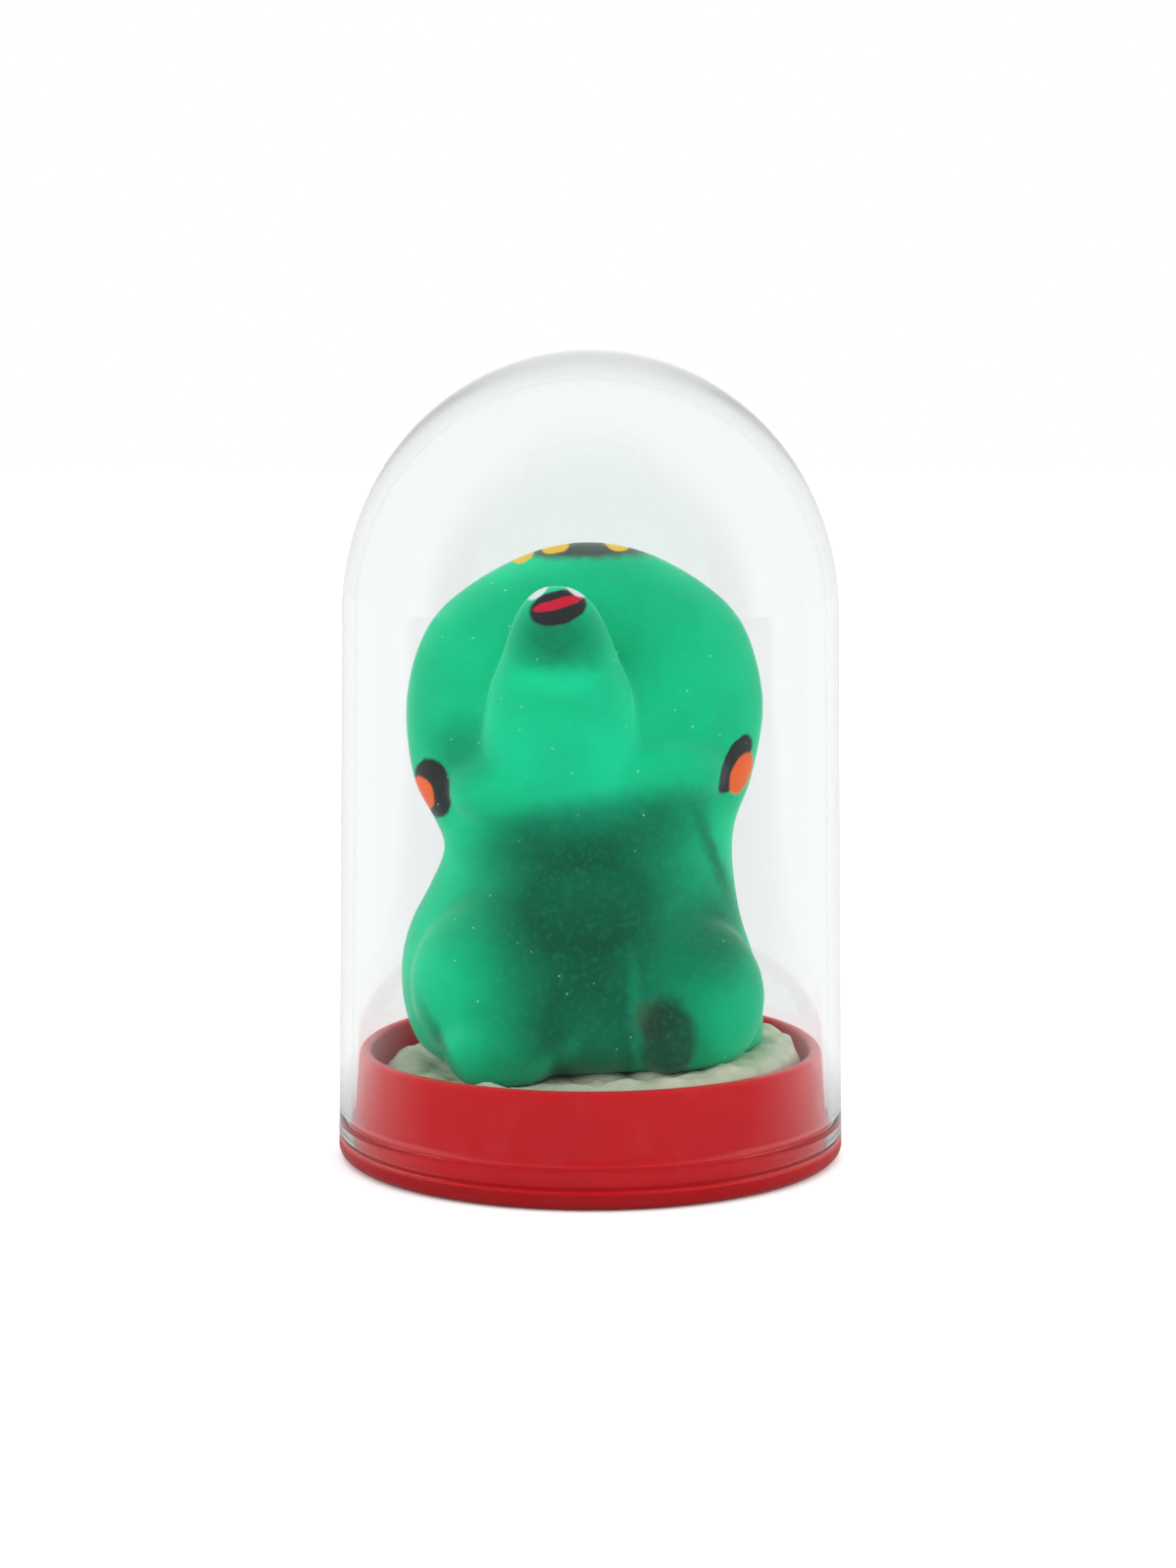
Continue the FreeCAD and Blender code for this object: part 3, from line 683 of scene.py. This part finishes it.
class CAPSULE_OT_toy(bpy.types.Operator):
    """Model the soft hooded snake and its painted spots"""

    bl_idname = "capsule.toy"
    bl_label = "Toy"

    # Level ovals of the coils, neck and hood: x, y, z, half width and half depth in mm
    TRUNK = [
        (0.1, 0.6, 6.6, 10.8, 6.8),
        (0.0, 0.2, 8.2, 12.9, 8.9),
        (-0.5, 0.0, 11.0, 13.5, 10.0),
        (-0.9, 0.0, 14.4, 13.35, 9.9),
        (-1.05, 0.1, 17.4, 12.5, 9.2),
        (-0.6, 0.4, 20.2, 11.5, 8.0),
        (-0.15, 0.7, 23.0, 10.85, 7.2),
        (-0.4, 1.0, 25.2, 11.4, 7.0),
        (-0.6, 1.3, 28.2, 12.75, 7.0),
        (-0.45, 1.4, 33.2, 13.5, 6.8),
        (-0.4, 1.4, 37.4, 12.8, 6.1),
        (-0.3, 1.4, 40.6, 11.2, 5.2),
        (-0.2, 1.4, 43.0, 8.5, 4.1),
        (-0.15, 1.4, 44.7, 5.6, 2.8),
        (-0.15, 1.4, 45.5, 3.6, 1.9),
        (-0.15, 1.4, 45.9, 1.9, 1.0),
        (-0.15, 1.4, 46.05, 0.6, 0.4),
    ]
    # Level ovals of the throat and the raised head
    HEAD = [
        (-1.4, 0.4, 21.0, 4.6, 2.4),
        (-1.7, -2.2, 26.0, 6.0, 3.7),
        (-2.1, -4.0, 30.6, 5.9, 4.0),
        (-2.2, -5.3, 33.4, 5.45, 3.85),
        (-2.2, -6.3, 35.6, 5.15, 3.9),
        (-2.2, -7.4, 38.0, 4.2, 3.3),
        (-2.25, -8.3, 40.0, 3.5, 2.7),
        (-2.3, -8.9, 41.6, 2.75, 2.1),
        (-2.35, -9.3, 42.7, 1.75, 1.4),
        (-2.4, -9.5, 43.2, 0.8, 0.6),
    ]
    # Lumps of the coils, chest and cheeks: place and half-sizes in mm
    LUMPS = [
        ((-5.8, -4.6, 13.6), (7.4, 5.9, 7.0)),
        ((6.4, -4.6, 12.6), (6.4, 6.0, 6.4)),
        ((-6.4, -7.6, 9.6), (4.4, 3.8, 3.6)),
        ((0.2, -7.1, 10.5), (4.2, 3.4, 3.1)),
        ((5.6, -8.7, 10.8), (2.0, 2.0, 3.3)),
        ((-1.4, -2.2, 18.4), (8.4, 5.6, 7.4)),
        ((-5.2, -1.7, 28.0), (5.6, 5.2, 3.7)),
        ((4.2, -1.1, 29.2), (6.2, 5.2, 3.9)),
    ]
    # Height of the foot in mm, and how much it rises to the right
    FOOT = 7.4
    LEAN = 0.07
    # Grid on which the lumps are merged in mm, and rounds of smoothing over their creases
    GRID = 0.22
    ROUNDS = 44

    def execute(self, context):
        parts = [loft("trunk", self.TRUNK), loft("head", self.HEAD)]
        parts += [swelling(at, radii) for at, radii in self.LUMPS]
        toy = merge(parts, "green_toy")
        apply_modifier(toy, "REMESH", mode="VOXEL", voxel_size=self.GRID * MM, adaptivity=0)
        apply_modifier(toy, "SMOOTH", factor=0.5, iterations=self.ROUNDS)
        bpy.ops.object.mode_set(mode="EDIT")
        bpy.ops.mesh.select_all(action="SELECT")
        bpy.ops.mesh.bisect(
            plane_co=(0, 0, self.FOOT * MM), plane_no=(-self.LEAN, 0, 1),
            use_fill=True, clear_inner=True,
        )
        bpy.ops.object.mode_set(mode="OBJECT")
        close_mesh(toy, 60)
        material = soft_vinyl(context.scene.toy_colours)
        hand_over(toy, material, "figure", "green_soft_vinyl", "figure_body", *PAINT_NODES)
        return {"FINISHED"}


class CAPSULE_OT_packing(bpy.types.Operator):
    """Model the folded packing in the cap"""

    bl_idname = "capsule.packing"
    bl_label = "Packing"

    # Half outline of the wad: radius and height in mm
    OUTLINE = [
        (0, 2.3), (14.4, 2.3), (15.6, 2.7), (16.0, 3.6), (16.0, 6.2),
        (15.6, 7.4), (14.6, 7.9), (13.2, 7.95), (11.8, 7.6), (10.8, 7.3), (0, 7.3),
    ]
    # Spacing of the points along it in mm
    SPACING = 0.4
    # Folds and creases: name, kind of noise, size and height in mm
    FOLDS = [
        ("folds", "VORONOI_F2_F1", 3.0, 1.0),
        ("creases", "BLENDER_ORIGINAL", 1.1, 0.35),
    ]
    # It lies higher at the right: degrees, and the height in mm that it turns about
    TILT = 3.6
    PIVOT = 4.4

    def execute(self, context):
        profile = []
        for (r0, z0), (r1, z1) in zip(self.OUTLINE, self.OUTLINE[1:]):
            count = max(1, round(math.hypot(r1 - r0, z1 - z0) / self.SPACING))
            for index in range(count):
                t = index / count
                profile.append(((r0 + (r1 - r0) * t) * MM, (z0 + (z1 - z0) * t) * MM))
        profile.append((0, self.OUTLINE[-1][1] * MM))
        wad = turned("packing", profile, WAD_SIDES, angle=180)
        for name, basis, size, strength in self.FOLDS:
            texture = bpy.data.textures.new(name, "CLOUDS")
            texture.noise_scale = size * MM
            texture.noise_depth = 1
            texture.noise_basis = basis
            apply_modifier(
                wad, "DISPLACE", texture=texture, texture_coords="LOCAL", direction="Z",
                strength=strength * MM, mid_level=0.45,
            )
        apply_modifier(wad, "SMOOTH", factor=0.5, iterations=2)
        bpy.ops.object.mode_set(mode="EDIT")
        bpy.ops.mesh.select_all(action="SELECT")
        bpy.ops.transform.rotate(
            value=math.radians(self.TILT), orient_axis="Y",
            center_override=(0, 0, self.PIVOT * MM),
        )
        bpy.ops.object.mode_set(mode="OBJECT")
        material = folded_packing(context.scene.toy_colours)
        hand_over(wad, material, "packing", "cream_packing", "packing_wad")
        return {"FINISHED"}


class CAPSULE_OT_stage(bpy.types.Operator):
    """Set the floor, the lamps and the camera"""

    bl_idname = "capsule.stage"
    bl_label = "Stage"

    # Soft boxes: place and size in mm, and power in watts
    LAMPS = [
        ((-420, -340, 260), 520, 2.3),
        ((440, -320, 240), 520, 3.0),
        ((0, 40, 620), 640, 1.9),
        ((0, 420, 260), 520, 1.3),
    ]
    # Height in mm that the lamps point at
    AIM = 28
    # The board's side, and how far under the cap it lies, in mm
    BOARD = 6000
    GAP = 0.02
    # The board is made white from near the cap to further out, in mm, so its shadow shows near
    SHADOW_NEAR, SHADOW_FAR = 20, 120
    # What is mirrored on the board is dim in front and white behind, between these, in mm
    MIRROR_FRONT, MIRROR_BACK = -20, 30
    # The camera's long side and nearest plane, in mm
    SENSOR = 36
    NEAREST = 10

    def execute(self, context):
        s = context.scene.stage_settings
        self.make_floor()
        for index, (at, size, power) in enumerate(self.LAMPS):
            bpy.ops.object.light_add(type="AREA", location=[v * MM for v in at])
            lamp = context.object
            lamp.name = f"soft_box_{index + 1}"
            lamp.data.shape = "SQUARE"
            lamp.data.size = size * MM
            lamp.data.energy = power * s.light
            lamp.visible_glossy = False
            lamp.visible_transmission = False
            aim = Vector((0, 0, self.AIM * MM)) - lamp.location
            lamp.rotation_euler = aim.to_track_quat("-Z", "Y").to_euler()
        self.make_world(context)
        bpy.ops.object.camera_add(
            location=(s.side, -s.distance, s.eye_height),
            rotation=(math.pi / 2 - s.pitch, 0, 0),
        )
        camera = context.object
        camera.data.sensor_width = self.SENSOR
        camera.data.lens = s.lens
        camera.data.clip_start = self.NEAREST * MM
        context.scene.camera = camera
        context.scene.view_settings.view_transform = "Standard"
        return {"FINISHED"}

    def make_floor(self):
        """White board that keeps the capsule's soft shadow and is pure white further out."""
        bpy.ops.object.select_all(action="DESELECT")
        bpy.ops.mesh.primitive_plane_add(size=self.BOARD * MM, location=(0, 0, -self.GAP * MM))
        floor = bpy.context.object
        floor.name = "floor"
        material, tree, output, place = new_material("white_board")
        away = node(tree, "ShaderNodeVectorMath", {0: place}, operation="LENGTH").outputs["Value"]
        level = node(
            tree, "ShaderNodeMapRange",
            {
                "Value": away, "From Min": self.SHADOW_NEAR * MM, "From Max": self.SHADOW_FAR * MM,
                "To Min": 0.05, "To Max": 1.0,
            },
        ).outputs["Result"]
        ray = node(tree, "ShaderNodeLightPath")
        near = node(
            tree, "ShaderNodeMath",
            {0: level, 1: ray.outputs["Is Camera Ray"]}, operation="MULTIPLY",
        ).outputs[0]
        board = node(tree, "ShaderNodeBsdfDiffuse", {"Color": linear("#F6F7F7")})
        lift = node(tree, "ShaderNodeEmission", {"Color": WHITE, "Strength": near})
        both = node(tree, "ShaderNodeAddShader", {0: board.outputs[0], 1: lift.outputs[0]})
        # What is mirrored is dim in front, and what is seen straight through the dome is white
        depth = node(tree, "ShaderNodeSeparateXYZ", {0: place}).outputs["Y"]
        back = node(
            tree, "ShaderNodeMapRange",
            {
                "Value": depth,
                "From Min": self.MIRROR_FRONT * MM, "From Max": self.MIRROR_BACK * MM,
                "To Min": 0.1, "To Max": 1.0,
            },
        ).outputs["Result"]
        straight = node(
            tree, "ShaderNodeMath",
            {0: ray.outputs["Glossy Depth"], 1: HALF}, operation="LESS_THAN",
        ).outputs[0]
        shown = node(
            tree, "ShaderNodeMath", {0: back, 1: straight}, operation="MAXIMUM"
        ).outputs[0]
        seen = node(
            tree, "ShaderNodeMath",
            {0: ray.outputs["Is Glossy Ray"], 1: ray.outputs["Is Transmission Ray"]},
            operation="MAXIMUM",
        ).outputs[0]
        # Light that comes off the board onto the toy is the same with the dome on or off
        direct = node(
            tree, "ShaderNodeMath",
            {0: ray.outputs["Diffuse Depth"], 1: HALF}, operation="LESS_THAN",
        ).outputs[0]
        share = node(tree, "ShaderNodeMath", {0: seen, 1: direct}, operation="MULTIPLY").outputs[0]
        white = node(tree, "ShaderNodeEmission", {"Color": WHITE, "Strength": shown})
        mix = node(
            tree, "ShaderNodeMixShader", {0: share, 1: both.outputs[0], 2: white.outputs[0]}
        )
        tree.links.new(mix.outputs[0], output.inputs["Surface"])
        floor.data.materials.append(material)

    def make_world(self, context):
        """A pale room: white to the camera and straight through the dome, and otherwise white
        behind the capsule and dim in front of it, so that the dome doesn't veil the toy."""
        world = bpy.data.worlds.new("pale_room")
        context.scene.world = world
        world.use_nodes = True
        tree = world.node_tree
        tree.nodes.clear()
        ray = node(tree, "ShaderNodeLightPath")
        toward = node(tree, "ShaderNodeTexCoord").outputs["Generated"]
        behind = node(tree, "ShaderNodeSeparateXYZ", {0: toward}).outputs["Y"]
        level = node(
            tree, "ShaderNodeMapRange",
            {"Value": behind, "From Min": -0.45, "From Max": -0.05, "To Min": 0.12, "To Max": 1.0},
        ).outputs["Result"]
        room = node(tree, "ShaderNodeBackground", {"Color": linear("#FAFBFB"), "Strength": level})
        white = node(tree, "ShaderNodeBackground", {"Color": WHITE, "Strength": 1.0})
        bounces = node(
            tree, "ShaderNodeMath",
            {0: ray.outputs["Glossy Depth"], 1: ray.outputs["Diffuse Depth"]}, operation="ADD",
        ).outputs[0]
        straight = node(
            tree, "ShaderNodeMath", {0: bounces, 1: HALF}, operation="LESS_THAN"
        ).outputs[0]
        through = node(
            tree, "ShaderNodeMath",
            {0: ray.outputs["Is Transmission Ray"], 1: straight}, operation="MULTIPLY",
        ).outputs[0]
        seen = node(
            tree, "ShaderNodeMath",
            {0: ray.outputs["Is Camera Ray"], 1: through}, operation="MAXIMUM",
        ).outputs[0]
        mix = node(
            tree, "ShaderNodeMixShader", {0: seen, 1: room.outputs[0], 2: white.outputs[0]}
        )
        output = node(tree, "ShaderNodeOutputWorld")
        tree.links.new(mix.outputs[0], output.inputs["Surface"])


class CAPSULE_PT_sidebar(bpy.types.Panel):
    """Lists the pieces of the capsule and their settings"""

    bl_idname = "CAPSULE_PT_sidebar"
    bl_label = "Toy Vending Capsule"
    bl_space_type = "VIEW_3D"
    bl_region_type = "UI"
    bl_category = "Capsule"

    def draw(self, context):
        for operator in OPERATORS:
            self.layout.operator(operator.bl_idname)
        for group in GROUPS:
            settings = getattr(context.scene, group)
            for name in settings.bl_rna.properties.keys():
                if name not in ("rna_type", "name"):
                    self.layout.prop(settings, name)


OPERATORS = (
    CAPSULE_OT_stage, CAPSULE_OT_cap, CAPSULE_OT_packing, CAPSULE_OT_toy, CAPSULE_OT_dome,
)
GROUPS = {
    "capsule_sizes": CapsuleSizes,
    "toy_colours": ToyColours,
    "stage_settings": StageSettings,
}


def register():
    """Registers the settings, the operators and the panel."""
    for kind in (*GROUPS.values(), *OPERATORS, CAPSULE_PT_sidebar):
        bpy.utils.register_class(kind)
    for name, kind in GROUPS.items():
        setattr(bpy.types.Scene, name, bpy.props.PointerProperty(type=kind))


def unregister():
    """Removes the settings, the operators and the panel."""
    for name in GROUPS:
        delattr(bpy.types.Scene, name)
    for kind in (CAPSULE_PT_sidebar, *OPERATORS[::-1], *GROUPS.values()):
        bpy.utils.unregister_class(kind)


def main():
    """Builds every piece in order."""
    register()
    bpy.ops.capsule.stage()
    bpy.ops.capsule.cap()
    bpy.ops.capsule.packing()
    bpy.ops.capsule.toy()
    bpy.ops.capsule.dome()


if __name__ == "__main__":
    main()
